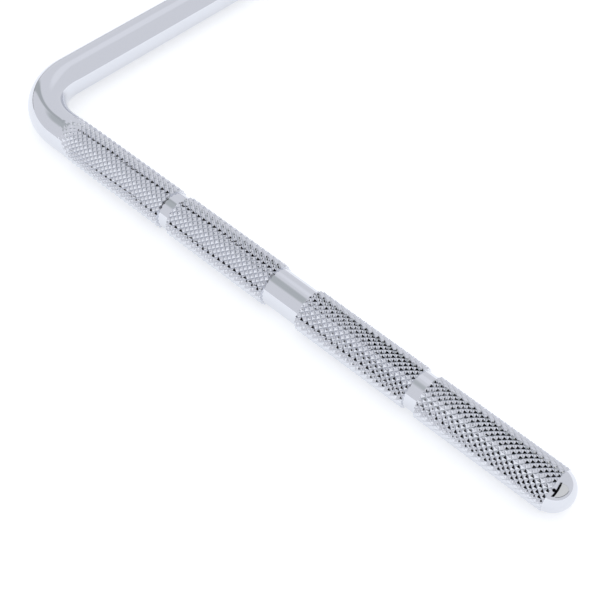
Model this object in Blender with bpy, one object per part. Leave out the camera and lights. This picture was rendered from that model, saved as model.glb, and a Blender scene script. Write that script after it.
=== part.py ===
"""Knurled L-rod: one round steel bar, turned and knurled on its long leg, then bent once.

The rod lies flat with its long leg along +X, its plain leg along +Y and +Z up. The knurled bands
are solid here at their full diameter over the crests; the fine teeth themselves are surface work.
"""

import math

import bmesh
import bpy
from mathutils import Matrix, Vector

MM = 0.001

# Driving dimensions in millimetres. Lengths start at the corner where the two centre lines meet.
BAR_D = 10.0                       # drawn bar: the bend and the plain leg
KNURL_D = 10.5                     # over the crests of the knurl
GROOVE_D = 9.2                     # turned smooth between the bands
BEND_R = 14.5                      # radius of the bend to the centre line
RUN_IN = 3.5                       # length over which the knurl rises out of the bar
BANDS = (38.6, 30.1, 30.2, 32.5)   # knurled lengths, from the bend outwards
GROOVES = (3.1, 10.2, 3.2)         # smooth lengths between them
DOME_SINK = 0.8                    # centre of the domed end, inboard of the last band's end
PLAIN_LEG = 120.0                  # corner to the flat end of the plain leg
CHAMFER = 0.8                      # on the rim of that flat end

# Facets of the round surfaces.
SEGMENTS = 48
BEND_STEPS = 24
DOME_STEPS = 10


def clear_scene():
    """Remove whatever the scene starts with."""
    for obj in list(bpy.data.objects):
        bpy.data.objects.remove(obj, do_unlink=True)


def chrome():
    """Bright chrome plate over steel."""
    material = bpy.data.materials.new("chrome")
    material.use_nodes = True
    shader = material.node_tree.nodes["Principled BSDF"]
    shader.inputs["Base Color"].default_value = (0.72, 0.73, 0.76, 1.0)
    shader.inputs["Metallic"].default_value = 1.0
    shader.inputs["Roughness"].default_value = 0.08
    return material


def bands_end():
    """Distance from the corner to the outer end of the last knurled band."""
    return BEND_R + sum(BANDS) + sum(GROOVES)


def plain_leg_stations():
    """(distance from the corner, radius) down the plain leg, from its flat end to the bend."""
    return [
        (PLAIN_LEG, BAR_D / 2 - CHAMFER),
        (PLAIN_LEG - CHAMFER, BAR_D / 2),
        (BEND_R, BAR_D / 2),
    ]


def knurled_leg_stations():
    """(distance from the corner, radius) along the long leg, from the bend to its last band."""
    crest, floor = KNURL_D / 2, GROOVE_D / 2
    stations = [(BEND_R + RUN_IN, crest)]
    x = BEND_R
    for band, groove in zip(BANDS, GROOVES):
        x += band
        stations += [(x, crest), (x, floor)]
        x += groove
        stations += [(x, floor), (x, crest)]
    stations.append((bands_end(), crest))
    return stations


def dome_stations():
    """(distance from the corner, radius) of the part sphere on the end, short of its pole."""
    radius = BAR_D / 2
    centre = bands_end() - DOME_SINK
    first = math.asin(DOME_SINK / radius)
    stations = []
    for i in range(DOME_STEPS):
        angle = first + (math.pi / 2 - first) * i / DOME_STEPS
        stations.append((centre + radius * math.sin(angle), radius * math.cos(angle)))
    return stations


class Section:
    """The open ring of edges at the growing end of the rod."""

    def __init__(self, bm, centre, axis, radius):
        """Start with a filled circle: the flat end of the rod."""
        turn = axis.to_track_quat("Z", "X").to_matrix().to_4x4()
        made = bmesh.ops.create_circle(
            bm, cap_ends=True, segments=SEGMENTS, radius=radius,
            matrix=Matrix.Translation(centre) @ turn,
        )
        self.bm = bm
        self.centre = centre
        self.radius = radius
        self.verts = made["verts"]
        self.edges = list({edge for vert in self.verts for edge in vert.link_edges})

    def take(self, geometry):
        """Make the new ring the growing end."""
        self.verts = [item for item in geometry if isinstance(item, bmesh.types.BMVert)]
        self.edges = [item for item in geometry if isinstance(item, bmesh.types.BMEdge)]

    def extrude_to(self, centre, radius):
        """Grow a straight, conical or stepped length to a new centre and radius."""
        self.take(bmesh.ops.extrude_edge_only(self.bm, edges=self.edges)["geom"])
        bmesh.ops.translate(self.bm, verts=self.verts, vec=centre - self.centre)
        factor = radius / self.radius
        bmesh.ops.scale(
            self.bm, verts=self.verts, vec=(factor, factor, factor),
            space=Matrix.Translation(-centre),
        )
        self.centre = centre
        self.radius = radius

    def bend(self, pivot, angle, steps, end):
        """Grow a bend by spinning the ring about a vertical axis through pivot."""
        spun = bmesh.ops.spin(
            self.bm, geom=self.verts + self.edges, cent=pivot, axis=(0, 0, 1),
            angle=angle, steps=steps, use_duplicate=False,
        )
        self.take(spun["geom_last"])
        self.centre = end

    def close_at(self, point):
        """Draw the ring together to a single point."""
        bmesh.ops.pointmerge(self.bm, verts=self.verts, merge_co=point)


def along_y(distance):
    return Vector((0.0, distance * MM, 0.0))


def along_x(distance):
    return Vector((distance * MM, 0.0, 0.0))


def rod_mesh():
    """The bar in one piece, grown from the plain leg's flat end round the bend to the dome."""
    bm = bmesh.new()
    plain = plain_leg_stations()
    section = Section(bm, along_y(plain[0][0]), Vector((0, 1, 0)), plain[0][1] * MM)
    for distance, radius in plain[1:]:
        section.extrude_to(along_y(distance), radius * MM)
    pivot = Vector((BEND_R * MM, BEND_R * MM, 0.0))
    section.bend(pivot, math.pi / 2, BEND_STEPS, along_x(BEND_R))
    for distance, radius in knurled_leg_stations() + dome_stations():
        section.extrude_to(along_x(distance), radius * MM)
    section.close_at(along_x(bands_end() - DOME_SINK + BAR_D / 2))
    bmesh.ops.recalc_face_normals(bm, faces=bm.faces)
    mesh = bpy.data.meshes.new("l_rod")
    bm.to_mesh(mesh)
    bm.free()
    mesh.shade_smooth()
    mesh.set_sharp_from_angle(angle=math.radians(40))
    return mesh


def rest_position():
    """Where the corner goes, so that the origin is under the middle of the rod lying flat."""
    tip = bands_end() - DOME_SINK + BAR_D / 2
    x = -(tip - BAR_D / 2) / 2
    y = -(PLAIN_LEG - KNURL_D / 2) / 2
    return Vector((x, y, KNURL_D / 2)) * MM


def build():
    """Make the rod and lay it on the ground plane."""
    clear_scene()
    rod = bpy.data.objects.new("l_rod", rod_mesh())
    rod.data.materials.append(chrome())
    rod.location = rest_position()
    bpy.context.scene.collection.objects.link(rod)


build()
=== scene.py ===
# %% [markdown]
# # A chrome-plated, knurled L-rod
#
# The rod is a mounting arm. A clamp grips its long leg, and the knurl bites so that the arm
# can't turn or slip. On the real object everything is one round steel bar: it is knurled in a
# lathe, smooth grooves are turned through the knurl, the end is rounded, the bar is bent, and
# last it is polished and plated with nickel and bright chrome.
#
# So there is one piece to make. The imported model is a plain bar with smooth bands. Here the same
# bar gets its real surface, tooth by tooth, and stands for the plain one.

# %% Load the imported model
import math

import bpy
import numpy as np
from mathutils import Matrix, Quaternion, Vector


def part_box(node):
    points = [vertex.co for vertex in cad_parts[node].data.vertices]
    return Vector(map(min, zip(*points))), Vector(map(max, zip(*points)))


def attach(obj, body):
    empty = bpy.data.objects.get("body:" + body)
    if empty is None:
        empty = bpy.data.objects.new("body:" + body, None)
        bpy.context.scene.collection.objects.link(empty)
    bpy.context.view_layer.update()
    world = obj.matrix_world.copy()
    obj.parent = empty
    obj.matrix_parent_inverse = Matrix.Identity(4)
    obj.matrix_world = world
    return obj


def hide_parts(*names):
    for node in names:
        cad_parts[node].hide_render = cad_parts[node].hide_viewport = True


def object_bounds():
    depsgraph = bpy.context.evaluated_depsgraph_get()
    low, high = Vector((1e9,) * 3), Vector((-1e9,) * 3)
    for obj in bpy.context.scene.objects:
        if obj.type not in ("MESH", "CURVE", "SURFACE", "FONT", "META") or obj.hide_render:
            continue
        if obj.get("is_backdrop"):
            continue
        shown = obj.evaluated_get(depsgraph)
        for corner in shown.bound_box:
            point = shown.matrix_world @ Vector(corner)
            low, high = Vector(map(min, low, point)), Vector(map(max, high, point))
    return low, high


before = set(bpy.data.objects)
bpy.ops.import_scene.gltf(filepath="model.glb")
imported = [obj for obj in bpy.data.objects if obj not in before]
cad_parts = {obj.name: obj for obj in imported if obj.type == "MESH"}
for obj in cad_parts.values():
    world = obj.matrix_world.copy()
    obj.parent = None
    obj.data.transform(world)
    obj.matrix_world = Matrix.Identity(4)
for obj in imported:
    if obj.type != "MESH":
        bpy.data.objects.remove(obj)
cad_box = [list(corner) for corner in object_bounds()]
lowest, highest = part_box("l_rod")
print("packed rod, mm:", [round(1000 * (b - a), 2) for a, b in zip(lowest, highest)])

# %% [markdown]
# ## Sizes
#
# A turned part is drawn with a few diameters and lengths. They are in millimetres, and lengths
# start at the corner where the centre lines of the two legs would cross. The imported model's box
# says where that corner is: the plain leg's outer side is half a bar to its left, and the
# knurled leg's front is half a knurl's diameter before it.

# %% Name the rod's dimensions
MM = 0.001
BAR_R = 5.0                        # the drawn bar
CREST_R = 5.25                     # over the crests of the knurl
GROOVE_R = 4.6                     # in the turned grooves
BEND_R = 14.5                      # the bend's centre line
BANDS = (38.6, 30.1, 30.2, 32.5)   # knurled lengths, from the bend outwards
GROOVES = (3.1, 10.2, 3.2)         # smooth lengths between them
DOME_SINK = 0.8                    # the dome's centre, inboard of the last band's end
PLAIN_LEG = 120.0                  # corner to the flat end
CHAMFER = 0.8                      # round the flat end

corner = Vector((
    lowest.x + BAR_R * MM,
    lowest.y + CREST_R * MM,
    lowest.z + CREST_R * MM,
))
edges = BEND_R + np.cumsum([0.0, *np.ravel(list(zip(BANDS, (*GROOVES, 0.0))))])
bands = [(edges[i], edges[i + 1]) for i in range(0, 8, 2)]
print("bands, mm from the corner:", [(round(a, 1), round(b, 1)) for a, b in bands])

# %% [markdown]
# ## The knurl's pattern
#
# A knurling tool has two hardened wheels with slanting teeth, one of each hand. Pressed into the
# turning bar, each rolls a set of helical grooves, and where the two sets cross they leave small
# pyramids. With 22 grooves of each hand round the bar, the grooves are about 1.1 mm apart. The
# two hands' pitches along the bar differ a little, because the wheels never track exactly alike,
# so the rows of pyramids wind slowly round the bar.
#
# The pattern needs two phases. Each counts grooves of one hand, so it is a whole number in the
# bottom of a groove and ends in a half on a crest. A grid whose columns follow the slow winding
# has both sets of grooves on its diagonals, which gives every pyramid crisp edges with few faces.

# %% Lay out the pattern's grid
STARTS = 22             # grooves of each hand round the bar
RATES = (0.645, 0.590)  # grooves of each hand met per millimetre along the bar
STEPS = 3               # grid steps from the bottom of a groove to a crest
COLUMNS = 2 * STEPS * STARTS
rate = sum(RATES) / 2
winding = math.pi * (RATES[0] - RATES[1]) / STARTS
row_pitch = 1 / (2 * STEPS * rate)
print(f"{COLUMNS} columns, a row every {row_pitch:.3f} mm, pyramids {1 / rate:.2f} mm long")

# %% [markdown]
# ## A groove's section
#
# The wheels' teeth are wedges, so the grooves are V-shaped, with the bottom rounded by the tooth
# and the crest rounded by the metal that flows up beside it and by the plating. The steepest part
# is half-way up. On a mirror finish this matters: only the steep part turns towards the camera.
#
# The free end of a long bar springs away from the wheels, so the grooves get shallower from the
# bend to the domed end.

# %% Shape the groove
DEPTHS = (0.46, 0.45, 0.42, 0.36)  # groove depth in each band, mm
ROUND = 0.35                       # 0 is a sharp V, 1 is a full wave
TIP = 0.02                         # how much the plating and handling take off the points, mm


def groove_share(phase):
    """Depth share of a groove: 1 where phase is whole, 0 half-way to the next groove. A straight
    V and a cosine wave are mixed."""
    off = np.abs(phase - np.round(phase))
    return (1 - ROUND) * (1 - 2 * off) + ROUND * (0.5 + 0.5 * np.cos(2 * np.pi * off))


shares = groove_share(np.arange(STEPS + 1) / STEPS / 2)
print("depth shares from the bottom to the crest:", np.round(shares, 2))

# %% [markdown]
# ## The rod as one surface
#
# The whole rod is a circle carried along its centre line: down the plain leg, round the bend and
# out to the dome. Two parameters describe it, the distance along the line and the angle round
# it, and its radius is a function of both. One grid for everything means no seams between a
# band and its grooves, as on the real bar.
#
# Along the line the rows are spaced to suit the shape: few on straight smooth lengths, one every
# few degrees in the bend and on the dome, and the pattern's own rows in the bands. Each entry of
# a row is its place along the line, its smooth radius, how far it lies inside a knurled band, the
# depth of the grooves there and how much of a lathe's turning marks it carries.

# %% Set out the rows
EDGE = 0.03         # the small fillet in a groove's corner, mm
SMOOTH = -1.0       # stands for "not inside a band"
FORMED = 99.0       # stands for "far from where the knurl begins"
CLEAR = 0.3         # pattern rows nearer to a band's end than this share of a row are left out
POLE_RING = 3       # the dome's last ring, degrees from its tip
DOME_TURNED = 0.3   # the polished dome keeps this share of the turning marks
CHAMFER_ROWS, LEG_ROWS, BEND_ROWS = 5, 12, 61
FILLET_ROWS, GROOVE_ROWS, DOME_ROWS = 4, 6, 26
rows = []


def arc(centre, radius, start, stop, count):
    """Points of a circle's arc in (place, radius) space, from start to stop in degrees."""
    angle = np.radians(np.linspace(start, stop, count))
    return centre[0] + radius * np.cos(angle), centre[1] + radius * np.sin(angle)


def add_rows(place, radius, inside=SMOOTH, depth=0.0, turned=0.0):
    """Append rows; the five columns broadcast against each other."""
    rows.append(np.stack(np.broadcast_arrays(place, radius, inside, depth, turned), axis=1))


line_start = -PLAIN_LEG + BEND_R
bend_length = math.pi / 2 * BEND_R
add_rows(*arc((line_start + CHAMFER, BAR_R - CHAMFER), CHAMFER, 180, 90, CHAMFER_ROWS),
         turned=1.0)
add_rows(np.linspace(line_start + CHAMFER, 0, LEG_ROWS)[1:], BAR_R)
add_rows(np.linspace(0, bend_length, BEND_ROWS)[1:], BAR_R)
for number, (first, last) in enumerate(bands):
    a, b = first - BEND_R + bend_length, last - BEND_R + bend_length
    inner = np.arange(math.ceil(a / row_pitch + CLEAR), math.floor(b / row_pitch - CLEAR) + 1)
    place = np.concatenate([[a], inner * row_pitch, [b]])
    add_rows(place, CREST_R, place - a if number == 0 else FORMED, DEPTHS[number])
    if number < 3:
        c = b + GROOVES[number]
        add_rows([b], GROOVE_R + 2 * EDGE, turned=1.0)
        add_rows(*arc((b + EDGE, GROOVE_R + EDGE), EDGE, 180, 270, FILLET_ROWS), turned=1.0)
        add_rows(np.linspace(b + 2 * EDGE, c - 2 * EDGE, GROOVE_ROWS), GROOVE_R, turned=1.0)
        add_rows(*arc((c - EDGE, GROOVE_R + EDGE), EDGE, 270, 360, FILLET_ROWS), turned=1.0)
        add_rows([c], GROOVE_R + 2 * EDGE, turned=1.0)
dome_centre = bands[-1][1] - BEND_R + bend_length - DOME_SINK
first_angle = 90 - math.degrees(math.asin(DOME_SINK / BAR_R))
add_rows(*arc((dome_centre, 0.0), BAR_R, first_angle, POLE_RING, DOME_ROWS), turned=DOME_TURNED)
rows = np.concatenate(rows)
print(len(rows), "rows,", round(dome_centre + BAR_R - line_start, 1), "mm along the centre line")

# %% [markdown]
# ## From the two parameters to points in space
#
# Each row's centre and its outward directions come from the centre line: straight, then a
# quarter circle, then straight. Points beyond the quarter circle just go on along its tangent.
#
# Next to the bend the knurl doesn't stop at a shoulder. It fades in, because the wheels were
# wound in gradually, and it fades in later on the outer side of the bend than on the inner side.

# %% Carry the circle along the centre line
RUN_OUT = (2.0, 9.0)  # the knurl begins and is fully formed this far past the bend, mm
LEAN = 1.9            # how much sooner it begins on the bend's inner upper side
LEAN_AT = 45.0        # the middle of that side, degrees from +Y towards +Z


def smooth_step(t):
    """0 below 0, 1 above 1 and a smooth rise between: 3 t squared less 2 t cubed."""
    t = np.clip(t, 0, 1)
    return t * t * (3 - 2 * t)


def centre_line(place):
    """Centre and tangent at each place, in mm from the corner. The turn is 0 on the plain leg,
    grows evenly to a right angle round the bend and stays there on the knurled leg."""
    turn = np.clip(place / BEND_R, 0, math.pi / 2)
    before = np.minimum(place, 0)
    after = np.maximum(place - bend_length, 0)
    x = BEND_R * (1 - np.cos(turn)) + after
    y = BEND_R * (1 - np.sin(turn)) - before
    tangent = np.stack([np.sin(turn), -np.cos(turn), np.zeros_like(turn)], axis=1)
    return np.stack([x, y, np.zeros_like(x)], axis=1), tangent


def knurled_bar(rows):
    """The bar's grid of points: centre plus radius times the outward direction. Inside a band the
    radius grows from the bar's to the crest's and loses the deeper of the two grooves, both by the
    share of the knurl formed there. The angle of a column winds slowly past the bend."""
    place, radius, inside, depth, _ = rows.T[:, :, None]
    column = np.arange(COLUMNS)
    angle = 2 * np.pi * column / COLUMNS - winding * np.maximum(place - bend_length, 0)
    begin = RUN_OUT[0] - LEAN * np.cos(angle - np.radians(LEAN_AT))
    formed = np.where(inside < 0, 0, smooth_step((inside - begin) / (RUN_OUT[1] - begin)))
    right = rate * place + column / (2 * STEPS)
    left = rate * place - column / (2 * STEPS)
    share = np.maximum(groove_share(right), groove_share(left)) * formed
    smooth = np.where(inside < 0, radius, BAR_R + (radius - BAR_R) * formed)
    radius = smooth - np.maximum(share * depth, TIP * formed)
    centre, tangent = centre_line(rows[:, 0])
    up = np.array([0.0, 0.0, 1.0])
    side = np.cross(up, tangent)
    outward = side[:, None, :] * np.cos(angle)[..., None] + up * np.sin(angle)[..., None]
    return centre[:, None, :] + radius[..., None] * outward, share


points, depth_share = knurled_bar(rows)
print("grid", points.shape[:2], "reaches", np.round(points.reshape(-1, 3).max(0), 2))

# %% [markdown]
# ## Faces
#
# Every cell of the grid is cut into two triangles. Where a groove crosses a cell, the cut has to
# lie along the groove, or the bottom of the groove would turn into a row of steps. The row and
# column numbers say which diagonal that is. Both ends close on a single point.
#
# The faces are first numbered on an unrolled grid with one column too many. That gives flat
# coordinates without a jump: millimetres along the bar and millimetres round it. The extra column
# is then folded back on the first.

# %% Join the points
CREASE = 28  # edges that bend more than this many degrees stay crisp


def grid_faces(first_row):
    """Two triangles per cell, as (row, column) numbers of the unrolled grid. The cut follows the
    right-hand grooves where row plus column plus one is a whole number of grooves, and the
    left-hand ones everywhere else."""
    i, j = np.meshgrid(np.arange(len(first_row) - 1), np.arange(COLUMNS), indexing="ij")
    a, b, c, d = (np.stack(cell, -1) for cell in ((i, j), (i + 1, j), (i + 1, j + 1), (i, j + 1)))
    flip = ((first_row[i] + j + 1) % (2 * STEPS) == 0)[..., None, None]
    one = np.where(flip, np.stack([a, b, d], -2), np.stack([a, b, c], -2))
    two = np.where(flip, np.stack([b, c, d], -2), np.stack([a, c, d], -2))
    return np.concatenate([one.reshape(-1, 3, 2), two.reshape(-1, 3, 2)])


row_number = np.round(rows[:, 0] / row_pitch).astype(int)
flat_row, dome_row, last_row = len(rows), len(rows) + 1, len(rows) - 1
around = np.arange(COLUMNS)
flat_pole, dome_pole, first_ring, last_ring = (
    np.full(COLUMNS, number) for number in (flat_row, dome_row, 0, last_row)
)
flat_fan = np.stack([flat_pole, around, first_ring, around, first_ring, around + 1], axis=1)
dome_fan = np.stack([dome_pole, around, last_ring, around + 1, last_ring, around], axis=1)
fans = np.concatenate([flat_fan, dome_fan]).reshape(-1, 3, 2)
corners = np.concatenate([grid_faces(row_number), fans])
row, column = corners[..., 0], corners[..., 1]
faces = np.where(row < flat_row, row * COLUMNS + column % COLUMNS, row + flat_row * (COLUMNS - 1))
dome_place = dome_centre + BAR_R
poles, _ = centre_line(np.array([line_start, dome_place]))
vertices = np.concatenate([points.reshape(-1, 3), poles]) * MM + np.array(corner)

mesh = bpy.data.meshes.new("knurled_rod")
mesh.from_pydata(vertices, [], faces)
mesh.update()
rod = bpy.data.objects.new("knurled_rod", mesh)
bpy.context.scene.collection.objects.link(rod)
mesh.shade_smooth()
mesh.set_sharp_from_angle(angle=math.radians(CREASE))
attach(rod, "root")
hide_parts("l_rod")
print(len(mesh.polygons), "triangles")

# %% [markdown]
# ## What the finish needs to know
#
# The plating looks different at the bottom of the knurl, and the turned surfaces have fine rings.
# So each point carries two numbers for the material: its share of the groove's depth and its share
# of turning marks. The flat coordinates go into a UV map, in millimetres, so that every pattern in
# the material can be given its real size.

# %% Store the finish's numbers on the mesh
def store(name, values):
    """Add one number per point."""
    mesh.attributes.new(name, "FLOAT", "POINT").data.foreach_set("value", values)


store("groove_depth", np.append(depth_share.ravel(), [0.0, 0.0]))
store("turned", np.append(np.repeat(rows[:, 4], COLUMNS), [1.0, DOME_TURNED]))
place_of_row = np.append(rows[:, 0], [line_start, dome_place])
around_mm = 2 * math.pi * BAR_R / COLUMNS
unrolled = np.stack([place_of_row[row] - line_start, column * around_mm], axis=-1)
mesh.uv_layers.new(name="along_around").data.foreach_set("uv", unrolled.ravel())
print("unrolled size, mm:", np.round(unrolled.reshape(-1, 2).max(0), 1))

# %% [markdown]
# ## Helpers for materials
#
# Colours are easiest to pick as the hex codes of a paint program, which are in sRGB. Shaders want
# linear light, so one function converts them. A second one adds a node, sets its options and
# fills or links its inputs.

# %% Define the helpers
def linear(hex_colour):
    """sRGB hex code to linear RGBA."""
    s = np.array([int(hex_colour[i:i + 2], 16) / 255 for i in (0, 2, 4)])
    rgb = np.where(s <= 0.04045, s / 12.92, ((s + 0.055) / 1.055) ** 2.4)
    return (*map(float, rgb), 1.0)


def add(tree, kind, inputs=(), **options):
    """Add a node, set its options and give its inputs, by name or number, a value or a link."""
    made = tree.nodes.new(kind)
    for name, value in options.items():
        setattr(made, name, value)
    for name, value in dict(inputs).items():
        if isinstance(value, bpy.types.NodeSocket):
            tree.links.new(value, made.inputs[name])
        else:
            made.inputs[name].default_value = value
    return made


# %% [markdown]
# ## Bright chrome
#
# Bright chrome is a very thin layer over bright nickel. It mirrors about 70 percent of the light
# with a faint cold tint, and it copies whatever lies under it. To the eye it is a clear mirror, and
# what lies under it or on it makes the detail:
#
# - polishing leaves a slight waviness a few millimetres long and hair-fine scratches round the bar,
# - the lathe leaves rings in the grooves, about six to a millimetre,
# - at the bottom of the knurl the polishing wheel doesn't reach and less chrome is deposited, so it
#   is duller and a little darker,
# - handling and drying leave a film in faint clouds, seen only where it blurs a reflection.
#
# Each pattern is a noise or a wave over the flat coordinates, which are in millimetres, so its
# scale says how many of its features there are to a millimetre.

# %% Make the chrome
SWELL_SIZE = 6.25                      # length of a swell, mm
CLOUDS_PER_MM = 0.45
HAIRS_PER_MM, HAIR_LENGTH = 25.0, 2.0  # counted across the hairs; mm
RINGS_PER_MM = 6.08
WAVE_BANDS = 20 / (2 * math.pi)        # what a wave texture of scale 1 draws per unit of length
SWELL_HEIGHT, RING_HEIGHT, HAIR_HEIGHT = 4e-6, 5e-7, 1e-7  # metres

chrome = bpy.data.materials.new("bright_chrome_plate")
chrome.use_nodes = True
tree = chrome.node_tree
shader = tree.nodes["Principled BSDF"]
flat = add(tree, "ShaderNodeUVMap", uv_map="along_around").outputs["UV"]
depth = add(tree, "ShaderNodeAttribute", attribute_name="groove_depth").outputs["Fac"]
turned = add(tree, "ShaderNodeAttribute", attribute_name="turned").outputs["Fac"]

# Waviness from polishing: soft swells that bend the reflections slightly.
swell = add(tree, "ShaderNodeTexNoise", {"Vector": flat, "Scale": 1 / SWELL_SIZE, "Detail": 1.0})
# Hair-fine scratches: noise drawn out round the bar.
drawn_out = add(
    tree, "ShaderNodeMapping", {"Vector": flat, "Scale": (HAIRS_PER_MM, 1 / HAIR_LENGTH, 1.0)},
)
hairs = add(
    tree, "ShaderNodeTexNoise", {"Vector": drawn_out.outputs[0], "Scale": 1.0, "Detail": 3.0},
)
# Rings from the lathe, slightly uneven.
rings = add(
    tree, "ShaderNodeTexWave",
    {"Vector": flat, "Scale": RINGS_PER_MM / WAVE_BANDS, "Distortion": 0.6, "Detail": 2.0},
    bands_direction="X",
)
ring_height = add(
    tree, "ShaderNodeMath", {0: rings.outputs["Fac"], 1: turned}, operation="MULTIPLY",
)

# Dull bottoms: the reflecting power falls and the roughness rises in the last part of the depth.
dull = add(
    tree, "ShaderNodeMapRange",
    {"Value": depth, "From Min": 0.75, "From Max": 1.0, "To Min": 0.0, "To Max": 1.0},
)
plate = add(
    tree, "ShaderNodeMix",
    {"Factor": dull.outputs[0], 6: linear("d9dbe1"), 7: linear("c4c6cc")}, data_type="RGBA",
)
# Film: faint clouds of handling and drying marks that only change the roughness.
clouds = add(tree, "ShaderNodeTexNoise", {"Vector": flat, "Scale": CLOUDS_PER_MM, "Detail": 4.0})
film = add(
    tree, "ShaderNodeMapRange",
    {"Value": clouds.outputs["Fac"], "From Min": 0.35, "From Max": 0.7,
     "To Min": 0.03, "To Max": 0.07},
)
# Roughness: the film's, plus a little where a hair is deep and more in the dull bottoms.
scratched = add(
    tree, "ShaderNodeMath", {0: hairs.outputs["Fac"], 1: 0.03, 2: film.outputs[0]},
    operation="MULTIPLY_ADD",
)
roughness = add(
    tree, "ShaderNodeMath", {0: dull.outputs[0], 1: 0.06, 2: scratched.outputs[0]},
    operation="MULTIPLY_ADD",
)
# Relief: each bump is laid over the one before it.
wavy = add(tree, "ShaderNodeBump", {"Height": swell.outputs["Fac"], "Distance": SWELL_HEIGHT})
ringed = add(
    tree, "ShaderNodeBump",
    {"Height": ring_height.outputs[0], "Distance": RING_HEIGHT, "Normal": wavy.outputs[0]},
)
haired = add(
    tree, "ShaderNodeBump",
    {"Height": hairs.outputs["Fac"], "Distance": HAIR_HEIGHT, "Normal": ringed.outputs[0]},
)
for socket, value in {
    "Base Color": plate.outputs[2], "Roughness": roughness.outputs[0], "Normal": haired.outputs[0],
}.items():
    tree.links.new(value, shader.inputs[socket])
shader.inputs["Metallic"].default_value = 1.0
mesh.materials.append(chrome)
print("chrome:", len(tree.nodes), "nodes")

# %% [markdown]
# ## The table
#
# The rod lies on a light table: a large sheet of opal acrylic, sanded matt and lit from below. Its
# own light fills in the shadow beside the rod, and the chrome's lower side mirrors a clean white.
# A plain white floor would need so much light from above that the shadow would turn dark. To the
# eye the sheet is even, apart from the very faint flecks of the sanding.

# %% Lay the sheet
TABLE_HALF = 3            # metres from the middle to an edge
FLECKS_PER_METRE = 900.0
GLOW = 0.46               # light from below, 1 being pure white on its own
floor_mesh = bpy.data.meshes.new("table")
square = [(TABLE_HALF * x, TABLE_HALF * y, 0) for x, y in ((-1, -1), (1, -1), (1, 1), (-1, 1))]
floor_mesh.from_pydata(square, [], [(0, 1, 2, 3)])
floor = bpy.data.objects.new("table", floor_mesh)
bpy.context.scene.collection.objects.link(floor)
opal = bpy.data.materials.new("sanded_opal_acrylic")
opal.use_nodes = True
tree = opal.node_tree
shader = tree.nodes["Principled BSDF"]
position = add(tree, "ShaderNodeTexCoord").outputs["Object"]
sanding = add(
    tree, "ShaderNodeTexNoise", {"Vector": position, "Scale": FLECKS_PER_METRE, "Detail": 3.0},
)
fleck = add(
    tree, "ShaderNodeMix",
    {"Factor": sanding.outputs["Fac"], 6: linear("dfe1e3"), 7: linear("d8dadd")}, data_type="RGBA",
)
tree.links.new(fleck.outputs[2], shader.inputs["Base Color"])
shader.inputs["Roughness"].default_value = 0.85
shader.inputs["Specular IOR Level"].default_value = 0.2
shader.inputs["Emission Color"].default_value = linear("ffffff")
shader.inputs["Emission Strength"].default_value = GLOW
floor_mesh.materials.append(opal)
floor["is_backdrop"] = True

# %% [markdown]
# ## The room in the mirror
#
# A mirror finish shows the room, so the room has to be designed. Small shiny objects are often
# set up in a tent of thin white cloth: every direction sends soft, slightly cold light. A plain
# tent makes chrome look like grey plastic, though. What gives it life is where the tent isn't
# plain. Its front is slit, so that the lens can look in. The slit is nearly black, and each tooth
# of the knurl that faces it shows a black spot. Beside the slit hangs a flap, which ends in a hem
# above the table. The opening in the roof and the seam at the back make the grey stripes along
# the smooth lengths.
#
# The room is painted on the world, as a function of the direction alone. Two shapes are enough. A
# seam or a slit is a band along a great circle: all directions nearly square to one axis. A patch
# is a cap: all directions close to one axis. Both only need a dot product. Masks multiplied
# together cut one shape with another, and the layers are painted in order, far ones first.

# %% Paint the room
world = bpy.data.worlds.new("light_tent")
bpy.context.scene.world = world
world.use_nodes = True
tree = world.node_tree
direction = add(tree, "ShaderNodeTexCoord").outputs["Generated"]
height = add(tree, "ShaderNodeSeparateXYZ", {"Vector": direction}).outputs["Z"]


def towards(azimuth, elevation):
    """Unit vector; azimuth in degrees from +X towards +Y, elevation above the horizon."""
    a, e = math.radians(azimuth), math.radians(elevation)
    return (math.cos(e) * math.cos(a), math.cos(e) * math.sin(a), math.sin(e))


def ramp(value, start, stop):
    """Smooth rise from 0 at start to 1 at stop; falls instead when stop is the smaller one."""
    made = add(
        tree, "ShaderNodeMapRange",
        {"Value": value, "From Min": min(start, stop), "From Max": max(start, stop),
         "To Min": float(start > stop), "To Max": float(start < stop)},
        interpolation_type="SMOOTHSTEP",
    )
    return made.outputs[0]


def dot(axis):
    """How closely each direction points along axis."""
    made = add(tree, "ShaderNodeVectorMath", {0: direction, 1: axis}, operation="DOT_PRODUCT")
    return made.outputs["Value"]


def both(a, b):
    """The part two masks have in common: their product."""
    return add(tree, "ShaderNodeMath", {0: a, 1: b}, operation="MULTIPLY").outputs[0]


def band(azimuth, elevation, half_width, edge):
    """Mask of a great circle square to the given axis, widths in degrees."""
    off = add(
        tree, "ShaderNodeMath", {0: dot(towards(azimuth, elevation))}, operation="ABSOLUTE",
    ).outputs[0]
    return ramp(off, math.sin(math.radians(half_width + edge)), math.sin(math.radians(half_width)))


def cap(azimuth, elevation, radius, edge):
    """Mask of the directions within radius degrees of the given one."""
    near = dot(towards(azimuth, elevation))
    return ramp(near, math.cos(math.radians(radius + edge)), math.cos(math.radians(radius)))


def paint(under, mask, hex_colour, strength=1.0):
    """Lay a colour over what is there, where the mask is."""
    colour = tuple(strength * c for c in linear(hex_colour)[:3]) + (1.0,)
    made = add(tree, "ShaderNodeMix", {"Factor": mask, 6: under, 7: colour}, data_type="RGBA")
    return made.outputs[2]


def height_mask(start, stop):
    """Smooth rise from 0 to 1 between two elevations, in degrees; falls if stop is the lower."""
    return ramp(height, math.sin(math.radians(start)), math.sin(math.radians(stop)))


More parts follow.
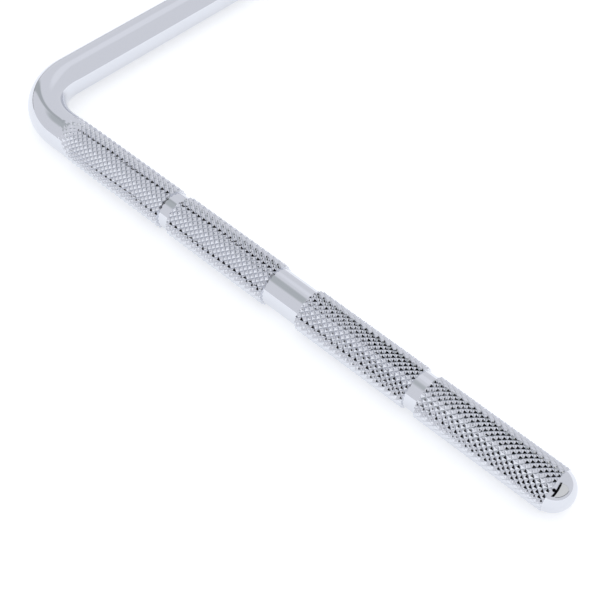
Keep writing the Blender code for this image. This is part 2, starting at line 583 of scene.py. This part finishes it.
HEM = 15.0             # the flap's lower hem, degrees above the horizon
SLIT = (-157.5, 26.0)  # the axis that the slit's great circle is square to
flap = both(ramp(dot(towards(*SLIT)), -0.02, -0.08), cap(-12, 32, 34, 3))
flap_hem = both(height_mask(HEM - 2, HEM - 1), flap)
flap_cloth = both(height_mask(HEM, HEM + 1.5), flap)
in_front = ramp(dot(towards(-45, 0)), 0.05, 0.15)
slit_ends = both(height_mask(HEM, HEM + 1.5), height_mask(72, 64))
slit = both(band(*SLIT, 4.4, 2.5), both(slit_ends, in_front))
seam = both(band(82, 0, 3, 4), cap(172, 20, 38, 8))
flatness = add(tree, "ShaderNodeMath", {0: height}, operation="ABSOLUTE").outputs[0]
back_hem = both(ramp(flatness, 0.05, 0.02), cap(170, 0, 24, 6))

room = linear("ebecf1")                                          # the tent's cloth
room = paint(room, cap(0, 90, 8, 12), "f2f3f6")                  # a lamp above it
room = paint(room, cap(112, 51, 9, 10), "f8f9fe")                # a lamp behind it
room = paint(room, cap(-163, 59, 10, 12), "c4c8ca")              # the opening in its roof
room = paint(room, seam, "bcc0c2")                               # the seam at its back
room = paint(room, back_hem, "3a3c40")                           # where its back meets the table
room = paint(room, flap_hem, "202022")                           # the gap under the flap
room = paint(room, flap_cloth, "ebebe9")                         # the flap
room = paint(room, slit, "08080a")                               # the slit
room = paint(room, cap(-57, 47, 7, 3), "08080a")                 # the lens in it
room = paint(room, ramp(height, 0.02, -0.02), "fafcff", 1.09)    # table beyond the sheet's edge
tree.links.new(room, tree.nodes["Background"].inputs["Color"])
print("room:", len(tree.nodes), "nodes")

# %% [markdown]
# ## A soft lamp for the table
#
# The tent and the sheet's own light leave the table just short of white. A wide soft lamp high
# over the front edge makes up the rest. It is hidden from mirror reflections, so the chrome shows
# only the tent.

# %% Hang the lamp
LAMP_AT = (0.0, -0.3, 0.8)            # metres
LAMP_SIZE, LAMP_POWER = 1.5, 2.5      # metres across, watts
softbox = bpy.data.lights.new("softbox", "AREA")
softbox.shape = "DISK"
softbox.size = LAMP_SIZE
softbox.energy = LAMP_POWER
softbox.color = linear("fbfcff")[:3]
lamp = bpy.data.objects.new("softbox", softbox)
lamp.location = LAMP_AT
lamp.rotation_euler = (-Vector(lamp.location)).to_track_quat("-Z", "Y").to_euler()
lamp.visible_glossy = False
bpy.context.scene.collection.objects.link(lamp)

# %% [markdown]
# ## The camera
#
# The view is from the front right, well above the rod, with the domed end coming towards the lens.
# The plain leg runs out of the top of the frame. The lens is close to the rod, so the near end
# looks clearly thicker than the bend.

# %% Place the camera
AZIMUTH, ELEVATION, ROLL = 37.92, 48.70, 5.79  # degrees
DISTANCE = 279.54                               # mm from the point it looks at
LENS, SENSOR = 75.88, 36.0                      # mm
target = corner + Vector((92.98, 0.76, 0.0)) * MM
back = Vector(towards(AZIMUTH - 90, ELEVATION))
lens = bpy.data.cameras.new("camera")
lens.lens = LENS
lens.sensor_width = SENSOR
lens.clip_start, lens.clip_end = 0.01, 20
camera = bpy.data.objects.new("camera", lens)
camera.location = target + back * DISTANCE * MM
camera.rotation_mode = "QUATERNION"
roll = Quaternion((0, 0, 1), math.radians(ROLL))
camera.rotation_quaternion = (-back).to_track_quat("-Z", "Y") @ roll
bpy.context.scene.collection.objects.link(camera)
bpy.context.scene.camera = camera
bpy.context.scene.view_settings.view_transform = "Standard"  # colours as they were picked
print("camera at, mm:", [round(1000 * c) for c in camera.location])

# %% [markdown]
# ## Compare with the imported box
#
# The finished rod has to lie inside the imported one's box, because the imported one is what other
# parts are fitted to.

# %% Compare the boxes
bpy.context.view_layer.update()
visual_box = [list(c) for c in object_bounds()]
for name, axis in zip("xyz", range(3)):
    gaps = [visual_box[0][axis] - cad_box[0][axis], cad_box[1][axis] - visual_box[1][axis]]
    print(name, "room to the packed box, mm:", [round(1000 * gap, 3) for gap in gaps])
